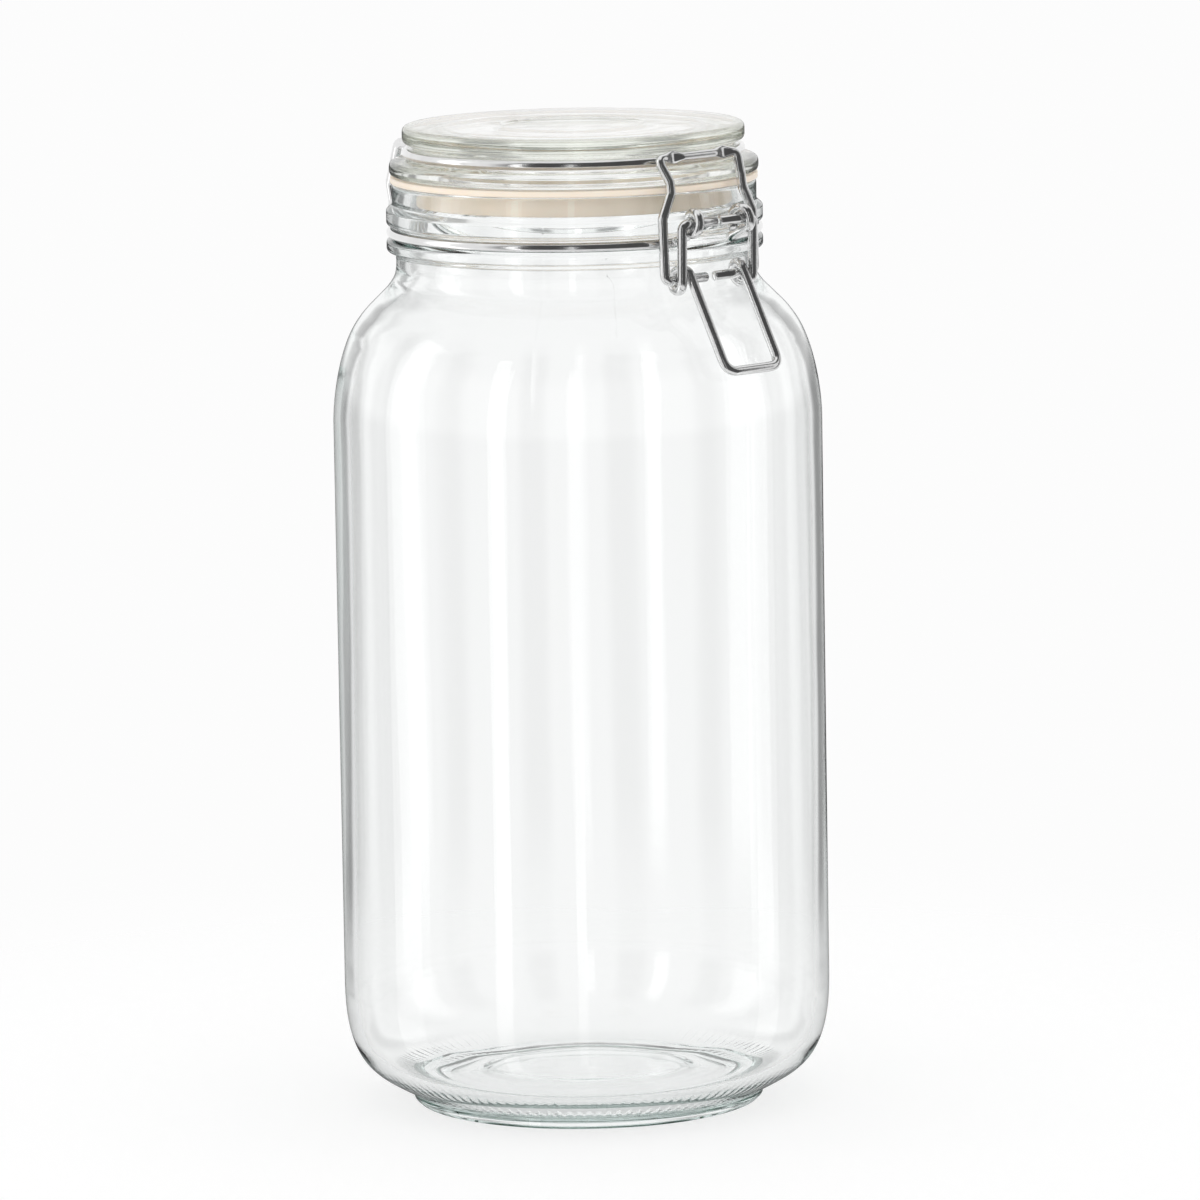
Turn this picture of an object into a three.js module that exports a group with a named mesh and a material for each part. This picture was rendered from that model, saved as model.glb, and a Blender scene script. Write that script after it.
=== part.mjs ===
// Lidded glass canister: clip-top storage jar with a hinged glass lid, a gasket and a wire toggle clasp.
// Millimetres, +Z up. The origin is on the jar's axis, in the plane the foot stands on.
// The clasp faces -Y and the lid's hinge faces +Y.
import * as THREE from "three";

// Driving dimensions
const BODY_R = 60;
const WALL = 3.2;
const FOOT_IN_R = 39.4;
const FOOT_OUT_R = 42.2;
const NECK_R = 43.8;
const BEAD_R = 46.1;
const MOUTH_R = 40.4;
const RIM_Z = 228;
const LID_TOP_Z = 242;
const LID_RIM_R = 41.9;
const FLANGE_R = 45.2;
const FLANGE_LOW_Z = 230;
const PLUG_R = 36.6;
const WIRE_R = 1.2;
const EYE_R = 2.55;
const LID_RING = { r: 40.8, z: 235.6 };
const NECK_RING = { r: 44.9, z: 216.2 };

// Axes of the joints, all along X, as [y, z]
const HINGE = [50, 220.5];
const LEVER_PIVOT = [-50, 221.2];
const LINK_PIVOT = [-47.2, 207.6];

// Facets
const AROUND = 48;
const WIRE_SIDES = 8;

const DEG = Math.PI / 180;

const GLASS = new THREE.MeshStandardMaterial({
  color: 0xdfece6,
  roughness: 0.05,
  transparent: true,
  opacity: 0.35,
});
const RUBBER = new THREE.MeshStandardMaterial({ color: 0xe9d8c4, roughness: 0.6 });
const STEEL = new THREE.MeshStandardMaterial({
  color: 0xc4c6c8,
  metalness: 1,
  roughness: 0.22,
});

// ---- Round pieces ----

// Turns a profile of [radius, height] pairs about Z.
function turned(name, profile, material) {
  const points = profile.map(([r, z]) => new THREE.Vector2(r, z));
  const geometry = new THREE.LatheGeometry(points, AROUND);
  geometry.rotateX(Math.PI / 2);
  const mesh = new THREE.Mesh(geometry, material);
  mesh.name = name;
  return mesh;
}

function jarProfile() {
  const underside = [
    [0, 3.6],
    [24, 3.1],
    [35, 1.9],
    [FOOT_IN_R, 0],
    [FOOT_OUT_R, 0],
    [43.1, 0.7],
    [43.4, 2.4],
  ];
  const heel = [
    [45.4, 3.8],
    [49.4, 5.9],
    [53.0, 8.2],
    [55.6, 10.8],
    [57.4, 13.8],
    [58.7, 17.6],
    [59.6, 22.4],
    [BODY_R, 28],
  ];
  const shoulder = [
    [BODY_R, 170],
    [59.6, 175.5],
    [58.6, 181.6],
    [57.1, 187.2],
    [55.0, 192.2],
    [52.1, 196.4],
    [48.6, 200.0],
    [45.9, 202.8],
    [44.3, 205.4],
    [NECK_R, 208.4],
    [NECK_R, 210.6],
  ];
  const lowerBead = [
    [45.2, 211.4],
    [BEAD_R, 212.6],
    [BEAD_R, 213.5],
    [45.0, 214.7],
  ];
  const wireGroove = [
    [43.4, 215.1],
    [43.4, 217.3],
  ];
  const upperBead = [
    [45.0, 217.8],
    [BEAD_R, 219.3],
    [BEAD_R, 220.7],
    [45.0, 222.4],
  ];
  const mouth = [
    [44.6, 223.6],
    [44.6, 227.2],
    [43.8, RIM_Z],
    [41.6, RIM_Z],
    [40.8, 227.6],
    [MOUTH_R, 226.5],
  ];
  const inside = [
    [MOUTH_R, 206],
    [41.0, 203.2],
    [43.0, 200.6],
    [46.8, 197.0],
    [50.2, 193.4],
    [52.8, 189.2],
    [54.9, 183.6],
    [56.1, 177.2],
    [BODY_R - WALL, 170],
    [BODY_R - WALL, 28],
    [56.2, 20.4],
    [54.8, 15.4],
    [52.2, 11.6],
    [48.2, 8.9],
    [43.0, 7.3],
    [34.0, 6.5],
    [0, 7.0],
  ];
  return [
    ...underside,
    ...heel,
    ...shoulder,
    ...lowerBead,
    ...wireGroove,
    ...upperBead,
    ...mouth,
    ...inside,
  ];
}

// Listed from the top down, and turned from the bottom up.
function lidProfile() {
  const top = [
    [0, LID_TOP_Z - 0.6],
    [17.4, LID_TOP_Z - 0.6],
    [18.2, LID_TOP_Z],
    [39.8, LID_TOP_Z],
    [41.3, 241.3],
    [LID_RIM_R, 240.2],
    [LID_RIM_R, 238.9],
  ];
  const wireGroove = [
    [41.2, 237.8],
    [39.4, 237.0],
    [39.3, 234.6],
    [40.3, 234.0],
  ];
  const flange = [
    [43.8, 233.6],
    [44.9, 232.9],
    [FLANGE_R, 231.8],
    [44.9, 230.6],
    [44.0, FLANGE_LOW_Z],
  ];
  const plug = [
    [PLUG_R, FLANGE_LOW_Z],
    [PLUG_R, 224.4],
    [36.0, 223.6],
    [33.6, 223.6],
    [33.0, 224.4],
    [32.4, 233.2],
    [30.6, 235.0],
    [0, 235.4],
  ];
  return [...top, ...wireGroove, ...flange, ...plug].reverse();
}

// A washer between the lid's flange and the jar's rim, with a skirt round the lid's plug.
function gasketProfile() {
  return [
    [36.9, 229.8],
    [36.9, 222.9],
    [38.5, 222.9],
    [38.9, 223.4],
    [38.9, 228.2],
    [44.6, 228.2],
    [45.0, 228.6],
    [45.0, 229.4],
    [44.6, 229.8],
    [36.9, 229.8],
  ];
}

// ---- Wire pieces ----

// Straight runs through the corners given, with a round bend at each inner one.
function bent(corners, bendRadius, steps = 4) {
  const points = [new THREE.Vector3(...corners[0])];
  for (let i = 1; i < corners.length - 1; i++) {
    const before = new THREE.Vector3(...corners[i - 1]);
    const corner = new THREE.Vector3(...corners[i]);
    const after = new THREE.Vector3(...corners[i + 1]);
    const back = before.clone().sub(corner);
    const on = after.clone().sub(corner);
    const half = back.angleTo(on) / 2;
    const reach = Math.min(bendRadius / Math.tan(half), 0.48 * back.length(), 0.48 * on.length());
    const start = corner.clone().addScaledVector(back.normalize(), reach);
    const end = corner.clone().addScaledVector(on.normalize(), reach);
    const curve = new THREE.QuadraticBezierCurve3(start, corner, end);
    points.push(...curve.getPoints(steps));
  }
  points.push(new THREE.Vector3(...corners[corners.length - 1]));
  return points;
}

// A level arc about Z; angles in degrees from -Y towards +X.
function levelArc(ring, from, to, steps) {
  const points = [];
  for (let i = 0; i <= steps; i++) {
    const a = (from + ((to - from) * i) / steps) * DEG;
    points.push(new THREE.Vector3(ring.r * Math.sin(a), -ring.r * Math.cos(a), ring.z));
  }
  return points;
}

// A coil about an axis along X; angles in degrees from +Y towards +Z.
function eye(axis, fromX, toX, from, to, steps = 20) {
  const points = [];
  for (let i = 0; i <= steps; i++) {
    const a = (from + ((to - from) * i) / steps) * DEG;
    points.push(
      new THREE.Vector3(
        fromX + ((toX - fromX) * i) / steps,
        axis[0] + EYE_R * Math.cos(a),
        axis[1] + EYE_R * Math.sin(a),
      ),
    );
  }
  return points;
}

function withoutRepeats(points) {
  return points.filter((p, i) => i === 0 || p.distanceTo(points[i - 1]) > 0.05);
}

// The same run of wire on the other side of the YZ plane, joined on in front.
function mirrored(half) {
  const other = half.map((p) => new THREE.Vector3(-p.x, p.y, p.z)).reverse();
  return withoutRepeats([...other, ...half]);
}

// A closed solid swept along the points. flatten(point) gives the section's scale along Y and Z.
function wire(name, points, flatten = () => [1, 1]) {
  const count = points.length;
  const positions = [];
  const indices = [];
  const tangents = points.map((p, i) => {
    const a = points[Math.max(i - 1, 0)];
    const b = points[Math.min(i + 1, count - 1)];
    return b.clone().sub(a).normalize();
  });
  let side = new THREE.Vector3(0, 0, 1).cross(tangents[0]);
  if (side.lengthSq() < 1e-6) side = new THREE.Vector3(1, 0, 0).cross(tangents[0]);
  side.normalize();
  for (let i = 0; i < count; i++) {
    side.addScaledVector(tangents[i], -side.dot(tangents[i])).normalize();
    const up = tangents[i].clone().cross(side);
    const [alongY, alongZ] = flatten(points[i]);
    for (let k = 0; k < WIRE_SIDES; k++) {
      const a = (2 * Math.PI * k) / WIRE_SIDES;
      const out = side.clone().multiplyScalar(WIRE_R * Math.cos(a));
      out.addScaledVector(up, WIRE_R * Math.sin(a));
      out.y *= alongY;
      out.z *= alongZ;
      out.add(points[i]);
      positions.push(out.x, out.y, out.z);
    }
  }
  for (let i = 0; i < count - 1; i++) {
    for (let k = 0; k < WIRE_SIDES; k++) {
      const a = i * WIRE_SIDES + k;
      const b = i * WIRE_SIDES + ((k + 1) % WIRE_SIDES);
      indices.push(a, b, a + WIRE_SIDES);
      indices.push(b, b + WIRE_SIDES, a + WIRE_SIDES);
    }
  }
  for (const [end, turn] of [
    [0, false],
    [count - 1, true],
  ]) {
    const centre = positions.length / 3;
    positions.push(points[end].x, points[end].y, points[end].z);
    for (let k = 0; k < WIRE_SIDES; k++) {
      const a = end * WIRE_SIDES + k;
      const b = end * WIRE_SIDES + ((k + 1) % WIRE_SIDES);
      indices.push(centre, turn ? a : b, turn ? b : a);
    }
  }
  const geometry = new THREE.BufferGeometry();
  geometry.setAttribute("position", new THREE.Float32BufferAttribute(positions, 3));
  geometry.setIndex(indices);
  geometry.computeVertexNormals();
  const mesh = new THREE.Mesh(geometry, STEEL);
  mesh.name = name;
  return mesh;
}

// Lies in the lid's groove. Its two ends cross the flange at the back and coil round the hinge bar.
function lidWire() {
  const [y, z] = HINGE;
  const overFlange = bent(
    [
      [20.4, 35.33, LID_RING.z],
      [17.0, 37.4, 235.7],
      [16.4, 45.4, 236.0],
      [12.5, 52.9, 225.2],
      [12.0, y + EYE_R, z + 0.6],
    ],
    3,
  );
  const half = [
    ...levelArc(LID_RING, 0, 149, 28),
    ...overFlange,
    ...eye(HINGE, 12.0, 9.2, 0, -335),
  ];
  return wire("lid_wire", mirrored(half));
}

// Lies in the jar's groove. It rises to the hinge bar at the back, and ends in two eyes at the front.
function neckWire() {
  const [y, z] = HINGE;
  const [eyeY, eyeZ] = LEVER_PIVOT;
  const ring = NECK_RING;
  const hingeBar = bent(
    [
      [0, y, z],
      [15.2, y, z],
      [15.2, 46.2, ring.z],
      [17.2, 42.2, ring.z],
      [19.6, 40.39, ring.z],
    ],
    2,
  );
  const toEye = bent(
    [
      [15.6, -42.1, ring.z],
      [9.3, -44.4, ring.z],
      [9.3, eyeY + 0.4, eyeZ - EYE_R],
    ],
    2.4,
  );
  const half = [
    ...hingeBar,
    ...levelArc(ring, 153, 21, 26),
    ...toEye,
    ...eye(LEVER_PIVOT, 9.3, 6.6, -90, -425),
  ];
  return wire("neck_wire", mirrored(half));
}

// Hooks over the lid's wire. Its two ends turn in along the lever's eyes.
function claspLink() {
  const [y, z] = LINK_PIVOT;
  const half = bent(
    [
      [0, -43.3, 236.7],
      [13.4, -43.3, 236.7],
      [12.0, -46.0, 231.4],
      [12.0, -46.4, 228.6],
      [15.1, -46.6, 222.6],
      [15.1, y, z],
      [1.3, y, z],
    ],
    1.9,
  );
  // Two flattened lobes on the top bar, where it bears on the lid's wire.
  const lobes = (p) => {
    if (p.z < 236 || Math.abs(p.x) > 11.6) return [1, 1];
    const t = Math.max(0, 1 - Math.abs(Math.abs(p.x) - 8.4) / 3.2);
    return [1 - 0.42 * t, 1 + 0.38 * t];
  };
  const top = [0, 3, 5.2, 6.8, 8.4, 10, 11.2].map((x) => new THREE.Vector3(x, -43.3, 236.7));
  return wire("clasp_link", mirrored([...top, ...half.slice(1)]), lobes);
}

// Turns in the neck wire's eyes, coils round the link's ends and runs on as the finger loop.
function claspLever() {
  const [y, z] = LEVER_PIVOT;
  const [linkY, linkZ] = LINK_PIVOT;
  const crank = bent(
    [
      [0.6, y, z],
      [11.9, y, z],
      [11.9, linkY - EYE_R, linkZ + 0.6],
    ],
    1.8,
  );
  const coil = eye(LINK_PIVOT, 11.9, 8.9, 180, 508, 20);
  const loop = bent(
    [
      [8.9, -49.4, 208.9],
      [8.9, -61.7, 186.3],
      [0, -61.7, 186.3],
    ],
    3.4,
  );
  const half = [...loop.reverse(), ...coil.reverse(), ...crank.reverse()];
  return wire("clasp_lever", mirrored(half));
}

const canister = new THREE.Group();
canister.name = "lidded_glass_canister";
canister.add(turned("jar_glass", jarProfile(), GLASS));
canister.add(turned("lid_glass", lidProfile(), GLASS));
canister.add(turned("gasket", gasketProfile(), RUBBER));
canister.add(lidWire());
canister.add(neckWire());
canister.add(claspLink());
canister.add(claspLever());

export default canister;
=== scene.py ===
"""Looks for the lidded glass canister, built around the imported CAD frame."""
import math

import bpy
import numpy as np
from mathutils import Matrix, Vector

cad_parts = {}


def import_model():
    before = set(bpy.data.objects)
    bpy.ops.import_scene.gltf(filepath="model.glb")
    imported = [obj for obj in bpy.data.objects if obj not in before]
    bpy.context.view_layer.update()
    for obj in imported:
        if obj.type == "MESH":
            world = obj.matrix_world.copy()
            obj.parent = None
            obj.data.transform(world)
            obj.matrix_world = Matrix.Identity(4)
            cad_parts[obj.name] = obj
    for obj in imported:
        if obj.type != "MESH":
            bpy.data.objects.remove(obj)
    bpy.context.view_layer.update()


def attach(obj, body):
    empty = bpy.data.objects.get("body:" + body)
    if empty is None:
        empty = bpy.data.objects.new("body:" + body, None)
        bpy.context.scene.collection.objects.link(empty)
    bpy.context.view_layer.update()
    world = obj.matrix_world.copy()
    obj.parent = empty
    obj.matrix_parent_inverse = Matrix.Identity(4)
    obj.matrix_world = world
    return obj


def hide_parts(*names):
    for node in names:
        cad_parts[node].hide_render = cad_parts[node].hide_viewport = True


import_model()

MM = 0.001

# ---- Sizes, in millimetres, as in the CAD ----
BODY_R = 60.0
INNER_R = 56.8
MOUTH_R = 40.4
NECK_R = 43.8
RIM_Z = 228.0
LID_TOP_Z = 241.5
WIRE_R = 1.2
EYE_R = 2.55
# Rings are (radius, height)
LID_RING = (40.8, 235.6)
NECK_RING = (44.9, 216.2)
# Pivots run along X and are (y, height)
HINGE = (50.0, 220.5)
LEVER_PIVOT = (-50.0, 221.2)
LINK_PIVOT = (-47.2, 207.6)

# ---- Fine detail, in millimetres, that the CAD leaves out ----
# Ribs under the heel, between two radii; they fade over so much at each side
RIBS = 120
RIBS_R = (44.4, 50.0)
RIBS_FADE = (1.2, 1.5)
RIBS_BELOW_Z = 9
RIB_DEPTH = 0.6
# Seams where the two halves of the mould met, as turns from -Y; they fade at each end
SEAMS = [math.radians(-54), math.radians(126)]
SEAM_Z = (176.0, 207.0)
SEAM_FADE = (12, 3)
SEAM_HEIGHT = 0.18
SEAM_HALF_WIDTH = math.radians(0.45)
SEAM_TURNS = [
    (seam + math.radians(step)) % (2 * math.pi)
    for seam in SEAMS
    for step in (-1.1, -0.6, -0.35, -0.12, 0.12, 0.35, 0.6, 1.1)
]
# Waves in the inside wall: depth, waves round the jar, turn per mm of height, start
WAVY_Z = (30, 190)
WAVES = ((0.09, 3, 0.012, 0.7), (0.05, 7, -0.02, 2.0))

# ---- How finely the pieces are cut up ----
GLASS_AROUND = 240
JAR_AROUND = 4 * RIBS
WIRE_SIDES = 14
SAME_PROFILE_POINT = 0.02
SAME_WIRE_POINT = 0.08
ON_AXIS = 0.01
# A wire's end is narrowed to this much of its radius, over this length
END_SCALE = 0.72
END_BEVEL = 0.28


# ---- Profiles: points of (radius, height) ----
def smooth(points, before=None, after=None, gap=0.9):
    """Points on a smooth curve through the ones given, about gap mm apart."""
    pts = [np.array(p, float) for p in points]
    first = np.array(before, float) if before else 2 * pts[0] - pts[1]
    last = np.array(after, float) if after else 2 * pts[-1] - pts[-2]
    pts = [first] + pts + [last]
    out = []
    for i in range(1, len(pts) - 2):
        p0, p1, p2, p3 = pts[i - 1 : i + 3]
        t0 = 0.0
        t1 = t0 + math.sqrt(np.linalg.norm(p1 - p0))
        t2 = t1 + math.sqrt(np.linalg.norm(p2 - p1))
        t3 = t2 + math.sqrt(np.linalg.norm(p3 - p2))
        steps = max(1, int(np.linalg.norm(p2 - p1) / gap))
        for k in range(steps):
            t = t1 + (t2 - t1) * k / steps
            a1 = (t1 - t) / (t1 - t0) * p0 + (t - t0) / (t1 - t0) * p1
            a2 = (t2 - t) / (t2 - t1) * p1 + (t - t1) / (t2 - t1) * p2
            a3 = (t3 - t) / (t3 - t2) * p2 + (t - t2) / (t3 - t2) * p3
            b1 = (t2 - t) / (t2 - t0) * a1 + (t - t0) / (t2 - t0) * a2
            b2 = (t3 - t) / (t3 - t1) * a2 + (t - t1) / (t3 - t1) * a3
            out.append((t2 - t) / (t2 - t1) * b1 + (t - t1) / (t2 - t1) * b2)
    out.append(pts[-2])
    return [tuple(map(float, p)) for p in out]


def rounded(corners, radius, steps=5):
    """A polyline with each inner corner rounded."""
    pts = [np.array(p, float) for p in corners]
    out = [pts[0]]
    for a, b, c in zip(pts, pts[1:], pts[2:]):
        back, on = a - b, c - b
        cos = np.dot(back, on) / (np.linalg.norm(back) * np.linalg.norm(on))
        half = math.acos(max(-1.0, min(1.0, cos))) / 2
        reach = min(
            radius / max(math.tan(half), 1e-6),
            0.48 * np.linalg.norm(back),
            0.48 * np.linalg.norm(on),
        )
        start = b + back / np.linalg.norm(back) * reach
        end = b + on / np.linalg.norm(on) * reach
        for k in range(steps + 1):
            t = k / steps
            out.append((1 - t) ** 2 * start + 2 * t * (1 - t) * b + t * t * end)
    out.append(pts[-1])
    return [tuple(map(float, p)) for p in out]


def jar_outside():
    """From the middle of the underside, up the outside and over the rim."""
    underside = smooth(
        [(0.0, 4.3), (18, 4.1), (23.5, 3.7), (27, 2.8), (34, 2.2), (38.2, 1.2)],
        before=(-10, 4.3),
    )
    foot = rounded([(39.4, 0), (42.2, 0), (43.2, 0.9), (43.5, 2.6), (44.4, 3.5)], 0.5)
    heel = smooth(
        [
            (45.4, 3.8), (49.4, 5.9), (53.0, 8.2), (55.6, 10.8), (57.4, 13.9),
            (58.7, 17.6), (59.6, 22.4), (BODY_R, 29),
        ],
        before=(43.4, 3.0),
        after=(BODY_R, 37),
    )
    body = [(BODY_R, z) for z in np.linspace(34, 165, 40)]
    shoulder = smooth(
        [
            (BODY_R, 170), (59.6, 175.5), (58.6, 181.6), (57.1, 187.2), (55.0, 192.2),
            (52.1, 196.4), (48.6, 200.0), (45.9, 202.8), (44.3, 205.4), (NECK_R, 208.4),
        ],
        before=(BODY_R, 163),
        after=(NECK_R, 212),
    )
    neck = rounded(
        [
            (NECK_R, 209), (43.9, 210.9), (46.1, 211.8), (46.1, 214.2),
            (43.4, 215.0), (43.4, 217.4), (46.1, 218.2), (46.1, 221.6),
            (44.6, 222.9), (44.6, RIM_Z), (MOUTH_R, RIM_Z), (MOUTH_R, 224),
        ],
        0.9,
    )
    return underside + foot + heel + body + shoulder + neck


def jar_inside():
    """From the mouth down to the middle of the floor."""
    shoulder = smooth(
        [
            (MOUTH_R, 206), (41.0, 203.2), (43.0, 200.6), (46.8, 197.0), (50.2, 193.4),
            (52.8, 189.2), (54.9, 183.6), (56.1, 177.2), (INNER_R, 170),
        ],
        before=(MOUTH_R, 210),
        after=(INNER_R, 163),
    )
    body = [(INNER_R, z) for z in np.linspace(165, 34, 40)]
    floor = smooth(
        [
            (INNER_R, 28), (56.2, 20.4), (54.8, 15.4), (52.2, 11.6), (48.2, 8.9), (43.0, 7.3),
            (37.0, 6.6), (31.0, 6.5), (27.0, 7.1), (23.0, 7.8), (15.0, 8.1), (0.0, 8.2),
        ],
        before=(INNER_R, 34),
        after=(-12, 8.1),
    )
    return shoulder + body + floor


def lid_profile():
    """From the middle of the underside, out round the plug and rim, to the middle of the top."""
    top = smooth(
        [(0.0, LID_TOP_Z), (12.0, LID_TOP_Z), (16.8, LID_TOP_Z)], before=(-9, LID_TOP_Z)
    )
    rim = rounded(
        [
            (17.0, LID_TOP_Z), (18.0, 242.0), (41.9, 242.0), (41.9, 238.2), (39.3, 236.9),
            (39.3, 234.3), (45.2, 233.5), (45.2, 230.0), (36.6, 230.0),
        ],
        1.5,
    )
    plug = rounded(
        [(36.6, 229.6), (36.6, 223.6), (33.0, 223.6), (32.3, 235.3), (24.0, 235.3)], 1.4
    )
    hollow = [(16.0, 235.35), (8.0, 235.4), (0.0, 235.4)]
    return (top + rim + plug + hollow)[::-1]


def gasket_profile():
    return rounded(
        [
            (37.6, 229.8), (36.9, 229.8), (36.9, 222.9), (38.9, 222.9), (38.9, 228.2),
            (45.0, 228.2), (45.0, 229.8), (37.6, 229.8),
        ],
        0.45,
        3,
    )


OUTSIDE = jar_outside()


def jar_shape(i, r, z, a):
    """Adds the ribs under the heel, the faint seams, and the waviness of the inside."""
    outer = i < len(OUTSIDE)
    if outer and RIBS_R[0] < r < RIBS_R[1] and z < RIBS_BELOW_Z:
        fade = min(1, (r - RIBS_R[0]) / RIBS_FADE[0], (RIBS_R[1] - r) / RIBS_FADE[1])
        r += RIB_DEPTH * fade * (math.cos(RIBS * a) - 1) / 2
    elif outer and SEAM_Z[0] < z < SEAM_Z[1]:
        off = min(abs((a - seam + math.pi) % (2 * math.pi) - math.pi) for seam in SEAMS)
        fade = min(1, (z - SEAM_Z[0]) / SEAM_FADE[0], (SEAM_Z[1] - z) / SEAM_FADE[1])
        r += SEAM_HEIGHT * fade * max(0.0, 1 - off / SEAM_HALF_WIDTH)
    elif not outer and WAVY_Z[0] < z < WAVY_Z[1]:
        r -= sum(
            depth * (1 + math.sin(count * a + turn * z + start))
            for depth, count, turn, start in WAVES
        )
    return r, z


# ---- Meshes ----
def add_object(name, data):
    obj = bpy.data.objects.new(name, data)
    bpy.context.scene.collection.objects.link(obj)
    return obj


def new_object(node, verts, faces, material, body, smooth_angle=40):
    """The look of one CAD node, riding on its body."""
    mesh = bpy.data.meshes.new(node + "_look")
    mesh.from_pydata([tuple(v) for v in verts], [], faces)
    mesh.update()
    obj = add_object(node + "_look", mesh)
    mesh.materials.append(material)
    mesh.shade_smooth()
    mesh.set_sharp_from_angle(angle=math.radians(smooth_angle))
    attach(obj, body)
    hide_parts(node)
    return obj


def turned(node, profile, material, body, around=GLASS_AROUND, shape=None, extra=()):
    """A profile turned about Z. It is closed by its ends, which meet or lie on the axis."""
    pts = [profile[0]]
    for p in profile[1:]:
        if math.dist(p, pts[-1]) > SAME_PROFILE_POINT:
            pts.append(p)
    closed = pts[0][0] > ON_AXIS
    if closed and math.dist(pts[0], pts[-1]) < SAME_PROFILE_POINT:
        pts.pop()
    rings = pts if closed else pts[1:-1]
    turns = sorted({2 * math.pi * k / around for k in range(around)} | set(extra))
    around = len(turns)
    verts = []
    for i, (r, z) in enumerate(rings):
        for a in turns:
            rr, zz = shape(i, r, z, a) if shape else (r, z)
            verts.append((rr * math.sin(a) * MM, -rr * math.cos(a) * MM, zz * MM))
    faces = []
    count = len(rings)
    for i in range(count if closed else count - 1):
        j = (i + 1) % count
        for k in range(around):
            n = (k + 1) % around
            faces.append((i * around + k, i * around + n, j * around + n, j * around + k))
    if not closed:
        for ring, (_, z), up in ((0, pts[0], False), (count - 1, pts[-1], True)):
            centre = len(verts)
            verts.append((0, 0, z * MM))
            for k in range(around):
                n = (k + 1) % around
                a, b = ring * around + k, ring * around + n
                faces.append((centre, a, b) if up else (centre, b, a))
    return new_object(node, verts, faces, material, body)


def wire(node, points, body, flatten=None):
    """A round wire swept along the points, with slightly bevelled ends."""
    count = len(points)
    tangents = []
    for i in range(count):
        t = points[min(i + 1, count - 1)] - points[max(i - 1, 0)]
        tangents.append(t.normalized())
    side = Vector((0, 0, 1)).cross(tangents[0])
    if side.length < 1e-3:
        side = Vector((1, 0, 0)).cross(tangents[0])
    side.normalize()
    # Each station is a point, its direction, a scale, and a shift along the direction
    first, last = (points[0], tangents[0]), (points[-1], tangents[-1])
    stations = [(*first, END_SCALE, 0.0), (*first, 1.0, END_BEVEL)]
    stations += [(points[i], tangents[i], 1.0, 0.0) for i in range(1, count - 1)]
    stations += [(*last, 1.0, -END_BEVEL), (*last, END_SCALE, 0.0)]
    verts, faces = [], []
    for p, t, scale, shift in stations:
        side = (side - t * side.dot(t)).normalized()
        up = t.cross(side)
        fy, fz = flatten(p) if flatten else (1.0, 1.0)
        for k in range(WIRE_SIDES):
            a = 2 * math.pi * k / WIRE_SIDES
            out = (side * math.cos(a) + up * math.sin(a)) * WIRE_R * scale
            out = Vector((out.x, out.y * fy, out.z * fz)) + p + t * shift
            verts.append(out * MM)
    for i in range(len(stations) - 1):
        for k in range(WIRE_SIDES):
            n = (k + 1) % WIRE_SIDES
            a, b = i * WIRE_SIDES + k, i * WIRE_SIDES + n
            faces.append((a, b, b + WIRE_SIDES, a + WIRE_SIDES))
    end = (len(stations) - 1) * WIRE_SIDES
    faces.append(tuple(reversed(range(WIRE_SIDES))))
    faces.append(tuple(range(end, end + WIRE_SIDES)))
    return new_object(node, verts, faces, STEEL, body, 50)


# ---- Wires: each is half a path, from the middle or to it, then mirrored in X ----
def bent(corners, radius, steps=8):
    return [Vector(p) for p in rounded(corners, radius, steps)]


def level_arc(ring, start, end, steps):
    """Part of a level ring, between two turns in degrees from -Y."""
    r, z = ring
    angles = np.radians(np.linspace(start, end, steps + 1))
    return [Vector((r * math.sin(a), -r * math.cos(a), z)) for a in angles]


def eye(pivot, x0, x1, start, end, steps=40):
    """A coil round a pivot, between two turns in degrees from +Y."""
    out = []
    for k in range(steps + 1):
        t = k / steps
        a = math.radians(start + (end - start) * t)
        y, z = pivot[0] + EYE_R * math.cos(a), pivot[1] + EYE_R * math.sin(a)
        out.append(Vector((x0 + (x1 - x0) * t, y, z)))
    return out


def mirrored(half):
    """The half path and its mirror image, without points that fall together."""
    points = [Vector((-p.x, p.y, p.z)) for p in reversed(half)] + list(half)
    out = [points[0]]
    for p in points[1:]:
        if (p - out[-1]).length > SAME_WIRE_POINT:
            out.append(p)
    return out


def lid_wire():
    y, z = HINGE
    over = bent(
        [
            (20.4, 35.33, LID_RING[1]), (17.0, 37.4, 235.7), (16.4, 45.4, 236.0),
            (12.5, 52.9, 225.2), (12.0, y + EYE_R, z + 0.6),
        ],
        3,
    )
    half = level_arc(LID_RING, 0, 149, 90) + over + eye(HINGE, 12.0, 9.2, 0, -335)
    wire("lid_wire", mirrored(half), "lid")


def neck_wire():
    y, z = HINGE
    ring_z = NECK_RING[1]
    bar = bent(
        [
            (0, y, z), (15.2, y, z), (15.2, 46.2, ring_z), (17.2, 42.2, ring_z),
            (19.6, 40.39, ring_z),
        ],
        2,
    )
    to_eye = bent(
        [
            (15.6, -42.1, ring_z), (9.3, -44.4, ring_z),
            (9.3, LEVER_PIVOT[0] + 0.4, LEVER_PIVOT[1] - EYE_R),
        ],
        2.4,
    )
    coil = eye(LEVER_PIVOT, 9.3, 6.6, -90, -425)
    wire("neck_wire", mirrored(bar + level_arc(NECK_RING, 153, 21, 80) + to_eye + coil), "jar")


# The link's top bar, as (y, height), and the flattened lobe on each side of its middle
LINK_BAR = (-43.3, 236.7)
LOBE_X, LOBE_HALF_WIDTH = 8.4, 3.2
LOBE_THINNER, LOBE_TALLER = 0.45, 0.42


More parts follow.
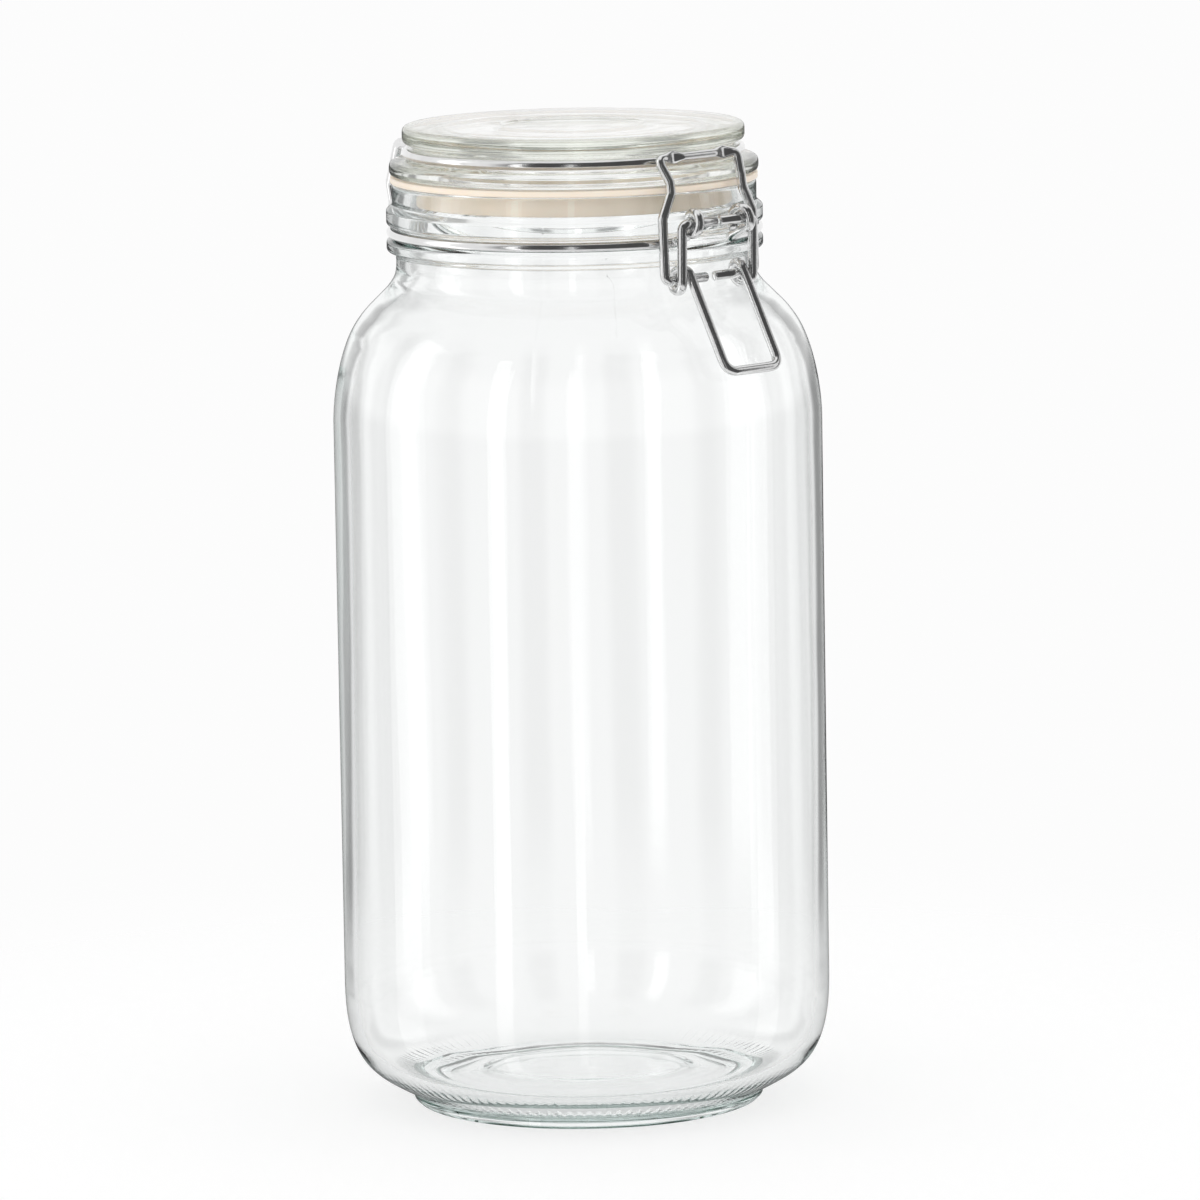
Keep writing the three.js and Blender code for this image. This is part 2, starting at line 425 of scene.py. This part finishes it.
def lobes(p):
    """How much thinner and taller the link's wire is at a point."""
    if p.z < 236 or abs(p.x) > LOBE_X + LOBE_HALF_WIDTH:
        return 1.0, 1.0
    t = max(0.0, 1 - abs(abs(p.x) - LOBE_X) / LOBE_HALF_WIDTH)
    t = t * t * (3 - 2 * t)
    return 1 - LOBE_THINNER * t, 1 + LOBE_TALLER * t


def clasp_link():
    y, z = LINK_PIVOT
    half = bent(
        [
            (0, *LINK_BAR), (13.4, *LINK_BAR), (12.0, -46.0, 231.4), (12.0, -46.4, 228.6),
            (15.1, -46.6, 222.6), (15.1, y, z), (1.3, y, z),
        ],
        1.9,
    )
    top = [Vector((x, *LINK_BAR)) for x in np.linspace(0, 11.2, 34)]
    wire("clasp_link", mirrored(top + half[1:]), "link", lobes)


def clasp_lever():
    y, z = LEVER_PIVOT
    tip = (-61.7, 186.3)
    crank = bent(
        [(0.6, y, z), (11.9, y, z), (11.9, LINK_PIVOT[0] - EYE_R, LINK_PIVOT[1] + 0.6)], 1.8
    )
    coil = eye(LINK_PIVOT, 11.9, 8.9, 180, 508)
    loop = bent([(8.9, -49.4, 208.9), (8.9, *tip), (0, *tip)], 3.4)
    wire("clasp_lever", mirrored(loop[::-1] + coil[::-1] + crank[::-1]), "lever")


# ---- Materials ----
def material(name):
    mat = bpy.data.materials.new(name)
    mat.use_nodes = True
    return mat, mat.node_tree.nodes, mat.node_tree.links


def set_inputs(node, values):
    for name, value in values.items():
        node.inputs[name].default_value = value


def noise(nodes, links, scale, detail, stretch=(1, 1, 1)):
    """Noise in object space; scale is per metre."""
    coords = nodes.new("ShaderNodeTexCoord")
    mapping = nodes.new("ShaderNodeMapping")
    mapping.inputs["Scale"].default_value = stretch
    tex = nodes.new("ShaderNodeTexNoise")
    set_inputs(tex, {"Scale": scale, "Detail": detail})
    links.new(coords.outputs["Object"], mapping.inputs["Vector"])
    links.new(mapping.outputs["Vector"], tex.inputs["Vector"])
    return tex.outputs["Fac"]


def bump(nodes, links, shader, height, strength, distance):
    """Roughens a shader's surface; distance is in metres."""
    node = nodes.new("ShaderNodeBump")
    set_inputs(node, {"Strength": strength, "Distance": distance})
    links.new(height, node.inputs["Height"])
    links.new(node.outputs["Normal"], shader.inputs["Normal"])


def mottled(nodes, links, shader, factor, low, high):
    """Gives a shader a base colour that wanders between two."""
    ramp = nodes.new("ShaderNodeValToRGB")
    ramp.color_ramp.elements[0].color = (*low, 1)
    ramp.color_ramp.elements[1].color = (*high, 1)
    links.new(factor, ramp.inputs["Fac"])
    links.new(ramp.outputs["Color"], shader.inputs["Base Color"])


def glass(name, absorb, density):
    """Clear glass that takes on the absorb colour with depth; density is per metre."""
    mat, nodes, links = material(name)
    shader = nodes["Principled BSDF"]
    set_inputs(
        shader,
        {
            "Base Color": (1, 1, 1, 1),
            "Roughness": 0.0,
            "IOR": 1.5,
            "Transmission Weight": 1.0,
        },
    )
    # Faint ripples left by the mould
    bump(nodes, links, shader, noise(nodes, links, 42, 2.0, (1, 1, 0.35)), 0.12, 0.0006)
    volume = nodes.new("ShaderNodeVolumeAbsorption")
    set_inputs(volume, {"Color": (*absorb, 1), "Density": density})
    # Lamps shine through to what is inside and underneath
    path = nodes.new("ShaderNodeLightPath")
    clear = nodes.new("ShaderNodeBsdfTransparent")
    clear.inputs["Color"].default_value = (0.97, 0.98, 0.975, 1)
    surface = pick(
        nodes, links, path.outputs["Is Shadow Ray"],
        shader.outputs["BSDF"], clear.outputs["BSDF"],
    )
    output = nodes["Material Output"]
    links.new(surface, output.inputs["Surface"])
    links.new(volume.outputs["Volume"], output.inputs["Volume"])
    return mat


def rubber():
    mat, nodes, links = material("gasket_rubber")
    shader = nodes["Principled BSDF"]
    mottle = noise(nodes, links, 180, 4.0)
    mottled(nodes, links, shader, mottle, (0.98, 0.80, 0.64), (1.0, 0.90, 0.77))
    set_inputs(
        shader,
        {
            "Roughness": 0.45,
            "Subsurface Weight": 0.15,
            "Subsurface Radius": (0.004, 0.003, 0.002),
            "Subsurface Scale": 1.0,
        },
    )
    bump(nodes, links, shader, noise(nodes, links, 1500, 2.0), 0.25, 0.0001)
    return mat


def steel():
    mat, nodes, links = material("bright_wire")
    shader = nodes["Principled BSDF"]
    shader.inputs["Metallic"].default_value = 1.0
    wear = noise(nodes, links, 260, 5.0)
    mottled(nodes, links, shader, wear, (0.66,) * 3, (0.86,) * 3)
    rough = nodes.new("ShaderNodeMapRange")
    set_inputs(rough, {"To Min": 0.08, "To Max": 0.2})
    links.new(wear, rough.inputs["Value"])
    links.new(rough.outputs["Result"], shader.inputs["Roughness"])
    bump(nodes, links, shader, noise(nodes, links, 2400, 3.0), 0.12, 0.00008)
    return mat


# ---- Nodes shared by materials and the world ----
def calc(nodes, links, operation, *values, clamp=False):
    """A Math node. Each value is a number or another node's socket."""
    node = nodes.new("ShaderNodeMath")
    node.operation = operation
    node.use_clamp = clamp
    for socket, value in zip(node.inputs, values):
        if isinstance(value, (int, float)):
            socket.default_value = value
        else:
            links.new(value, socket)
    return node.outputs["Value"]


def between(nodes, links, value, low, high, at_low, at_high):
    """Moves smoothly from at_low to at_high as the value goes from low to high."""
    node = nodes.new("ShaderNodeMapRange")
    node.interpolation_type = "SMOOTHSTEP"
    links.new(value, node.inputs["Value"])
    set_inputs(
        node, {"From Min": low, "From Max": high, "To Min": at_low, "To Max": at_high}
    )
    return node.outputs["Result"]


def emission(nodes, links, value):
    """An Emission shader. The value is a grey number or another node's socket."""
    node = nodes.new("ShaderNodeEmission")
    if isinstance(value, float):
        node.inputs["Color"].default_value = (value, value, value, 1)
    else:
        links.new(value, node.inputs["Color"])
    return node.outputs["Emission"]


def pick(nodes, links, factor, no, yes):
    """One of two shaders, by a factor of 0 or 1."""
    node = nodes.new("ShaderNodeMixShader")
    links.new(factor, node.inputs["Fac"])
    links.new(no, node.inputs[1])
    links.new(yes, node.inputs[2])
    return node.outputs["Shader"]


# ---- Studio, in metres ----
FLOOR_R = 0.4
FLOOR_FADE = (0.14, 0.36)
FLOOR_Z = -0.0002
FLOOR_SIDES = 96
FLOOR_GREY = 0.45
FLOOR_GLOW = 0.62
ROOM_WHITE = 0.975
ROOM_FILL = 0.72

# Degrees from -Y towards -X
CAMERA_AZIMUTH = 43.5
# The world's azimuths run from +X towards +Y; the camera looks along this one
VIEW_AZIMUTH = math.radians(90 - CAMERA_AZIMUTH)
# The windows that the wires mirror are centred behind the jar and to its left
WINDOW_TURN = math.radians(35)
# Dark and light strips all round the room, seen through the glass
STRIPS = 8.0

CAMERA_DISTANCE = 2.2
CAMERA_Z = 0.45
CAMERA_LENS = 270.87
PITCH, YAW, ROLL = 8.4275, -0.123, -0.93

# Lamps centred at the floor's level: degrees from the camera's azimuth, distance, width,
# height, radiance
SIDE_LAMPS = (
    ("left_side", 92, 1.6, 0.5, 3.0, 0.9),
    ("left_front", 39, 2.2, 0.3, 3.6, 1.4),
    ("near_camera", 2, 2.6, 0.2, 3.6, 0.9),
    ("right_side", -95, 1.6, 0.4, 3.0, 0.8),
)

# Thick glass turns black when light is stopped early
BOUNCES = 24
TRANSPARENT_BOUNCES = 16


def floor():
    """A pale table top, not mirrored by the glass or the wires."""
    mat, nodes, links = material("pale_floor")
    shader = nodes["Principled BSDF"]
    set_inputs(
        shader,
        {
            "Base Color": (FLOOR_GREY, FLOOR_GREY, FLOOR_GREY, 1),
            "Roughness": 0.9,
            "Specular IOR Level": 0.0,
            "Emission Color": (1, 1, 1, 1),
            "Emission Strength": FLOOR_GLOW,
        },
    )
    # The edge of the table melts into the white room
    coords = nodes.new("ShaderNodeTexCoord")
    length = nodes.new("ShaderNodeVectorMath")
    length.operation = "LENGTH"
    links.new(coords.outputs["Object"], length.inputs[0])
    solid = between(nodes, links, length.outputs["Value"], *FLOOR_FADE, 1.0, 0.0)
    links.new(solid, shader.inputs["Alpha"])
    turns = [2 * math.pi * k / FLOOR_SIDES for k in range(FLOOR_SIDES)]
    verts = [(FLOOR_R * math.cos(a), FLOOR_R * math.sin(a), FLOOR_Z) for a in turns]
    mesh = bpy.data.meshes.new("floor")
    mesh.from_pydata(verts, [], [tuple(range(FLOOR_SIDES))])
    obj = add_object("floor", mesh)
    mesh.materials.append(mat)
    obj.visible_glossy = False


def softbox(name, azimuth, distance, centre_z, width, height, radiance):
    """A soft upright lamp facing the jar; azimuth in degrees from -Y towards -X."""
    a = math.radians(azimuth)
    light = bpy.data.lights.new(name, "AREA")
    light.shape = "RECTANGLE"
    light.size, light.size_y = width, height
    light.energy = radiance * math.pi * width * height
    obj = add_object(name, light)
    obj.location = (-math.sin(a) * distance, -math.cos(a) * distance, centre_z)
    obj.rotation_euler = (math.pi / 2, 0, -a)
    return obj


def lamps():
    overhead = softbox("overhead", 0, 0, 2.6, 1.6, 1.6, 0.4)
    overhead.rotation_euler = (0, 0, 0)
    front = softbox("front_fill", CAMERA_AZIMUTH, 2.4, 1.0, 1.2, 1.2, 2.5)
    for lamp in (overhead, front):
        lamp.visible_glossy = False
        lamp.visible_transmission = False
    for name, turn, distance, width, height, radiance in SIDE_LAMPS:
        softbox(name, CAMERA_AZIMUTH + turn, distance, 0, width, height, radiance)


def world():
    """White all round for the eye; dark strips and a dark room in front for glass and metal."""
    w = bpy.data.worlds.new("studio")
    bpy.context.scene.world = w
    w.cycles.sampling_method = "NONE"
    w.use_nodes = True
    nodes, links = w.node_tree.nodes, w.node_tree.links
    split = nodes.new("ShaderNodeSeparateXYZ")
    coords = nodes.new("ShaderNodeTexCoord")
    links.new(coords.outputs["Generated"], split.inputs["Vector"])
    x, y, z = (split.outputs[axis] for axis in "XYZ")

    # What is seen through the glass
    azimuth = calc(nodes, links, "ARCTAN2", y, x)
    turn = calc(nodes, links, "SUBTRACT", azimuth, VIEW_AZIMUTH)
    wave = calc(nodes, links, "COSINE", calc(nodes, links, "MULTIPLY", turn, STRIPS))
    strips = between(nodes, links, wave, -0.9, -0.2, 0.38, 0.98)
    high = between(nodes, links, z, 0.55, 0.8, 0.0, 1.0)
    through = calc(nodes, links, "MAXIMUM", strips, high)

    # What the wires mirror
    facing = calc(nodes, links, "COSINE", calc(nodes, links, "SUBTRACT", turn, WINDOW_TURN))
    windows = between(nodes, links, facing, -0.3, 0.15, 0.08, 1.0)
    ceiling = between(nodes, links, z, 0.88, 0.97, 0.0, 1.0)
    table = between(nodes, links, z, -0.75, -0.45, 0.9, 0.0)
    room = calc(nodes, links, "MAXIMUM", calc(nodes, links, "MAXIMUM", windows, ceiling), table)

    # What the glass mirrors: its reflections are perfectly sharp, the wires' are not
    above_table = between(nodes, links, z, -0.06, 0.03, 0.1, 0.97)
    upper = between(nodes, links, z, 0.3, 0.5, 1.0, 0.35)
    wall = calc(nodes, links, "MULTIPLY", above_table, upper)

    path = nodes.new("ShaderNodeLightPath")
    reflected = calc(
        nodes, links, "SUBTRACT", path.outputs["Is Glossy Ray"],
        path.outputs["Is Transmission Ray"], clamp=True,
    )
    mirrored_room = pick(
        nodes, links, path.outputs["Is Singular Ray"],
        emission(nodes, links, room), emission(nodes, links, wall),
    )
    seen = pick(nodes, links, reflected, emission(nodes, links, through), mirrored_room)
    fill, white = emission(nodes, links, ROOM_FILL), emission(nodes, links, ROOM_WHITE)
    seen = pick(nodes, links, path.outputs["Is Diffuse Ray"], seen, fill)
    seen = pick(nodes, links, path.outputs["Is Camera Ray"], seen, white)
    links.new(seen, nodes["World Output"].inputs["Surface"])


def camera():
    a, pitch, yaw, roll = (math.radians(v) for v in (-CAMERA_AZIMUTH, PITCH, YAW, ROLL))
    forward = Vector((
        -math.sin(a + yaw) * math.cos(pitch),
        math.cos(a + yaw) * math.cos(pitch),
        -math.sin(pitch),
    ))
    right = forward.cross(Vector((0, 0, 1))).normalized()
    up = right.cross(forward)
    right, up = (
        right * math.cos(roll) + up * math.sin(roll),
        up * math.cos(roll) - right * math.sin(roll),
    )
    data = bpy.data.cameras.new("camera")
    data.lens = CAMERA_LENS
    data.sensor_width = 36
    data.clip_end = 100
    matrix = Matrix((right, up, -forward)).transposed().to_4x4()
    matrix.translation = (math.sin(a) * CAMERA_DISTANCE, -math.cos(a) * CAMERA_DISTANCE, CAMERA_Z)
    obj = add_object("camera", data)
    obj.matrix_world = matrix
    bpy.context.scene.camera = obj


# ---- Build ----
JAR_GLASS = glass("jar_glass", (0.26, 0.54, 0.48), 5.0)
LID_GLASS = glass("lid_glass", (0.55, 0.62, 0.42), 4.0)
RUBBER = rubber()
STEEL = steel()

turned("jar_glass", OUTSIDE + jar_inside(), JAR_GLASS, "jar", JAR_AROUND, jar_shape, SEAM_TURNS)
turned("lid_glass", lid_profile(), LID_GLASS, "lid")
turned("gasket", gasket_profile(), RUBBER, "lid")
lid_wire()
neck_wire()
clasp_link()
clasp_lever()

floor()
world()
lamps()
camera()

scene = bpy.context.scene
scene.view_settings.view_transform = "Standard"
scene.cycles.max_bounces = BOUNCES
scene.cycles.transmission_bounces = BOUNCES
scene.cycles.glossy_bounces = BOUNCES
scene.cycles.transparent_max_bounces = TRANSPARENT_BOUNCES
